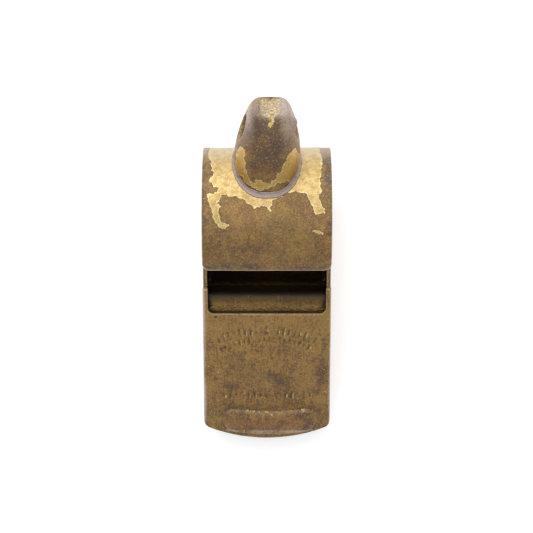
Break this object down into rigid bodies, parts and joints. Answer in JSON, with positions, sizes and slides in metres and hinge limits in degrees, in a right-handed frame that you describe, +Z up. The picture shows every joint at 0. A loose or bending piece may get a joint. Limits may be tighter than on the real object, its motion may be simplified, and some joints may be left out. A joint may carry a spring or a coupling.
{
  "type": "pea whistle",
  "caption": "Pocket whistle of soldered brass sheet: round chamber with a loose cork ball, flat mouthpiece with an air slot, and a hanging loop.",
  "frame": {"origin": "on the table under the middle of the whistle, which lies as it comes to rest: on the barrel and on the mouthpiece's tip", "axes": "+X across the whistle along the barrel's axis, +Y from the mouthpiece to the hanging loop, +Z up"},
  "size_m": [0.0196, 0.0522, 0.0257],
  "materials": {
    "body_brass": "dark brown-gold tarnish with bare bright patches",
    "inner_brass": "dark, dusty tarnish inside the mouthpiece",
    "loop_brass": "dark tarnish, worn to bare brass at the tip and round the foot",
    "solder": "dull grey-lilac soft solder",
    "cork": "matte natural cork"
  },
  "bodies": {
    "whistle": {"barrel_strip": "body_brass", "mouthpiece_top": "body_brass", "side_plate_left": "body_brass", "side_plate_right": "body_brass", "windway_ramp": "inner_brass", "suspension_loop": "loop_brass", "loop_solder": "solder", "barrel_seam_left": "solder", "barrel_seam_right": "solder", "mouthpiece_seam_left": "solder", "mouthpiece_seam_right": "solder"},
    "pea": {"cork_pea": "cork"}
  },
  "joints": [
    {"name": "pea_orbit", "type": "hinge", "parent": "whistle", "child": "pea", "pos_m": [0, 0.00818, 0.0108], "axis": [1, 0, 0], "continuous": true}
  ]
}
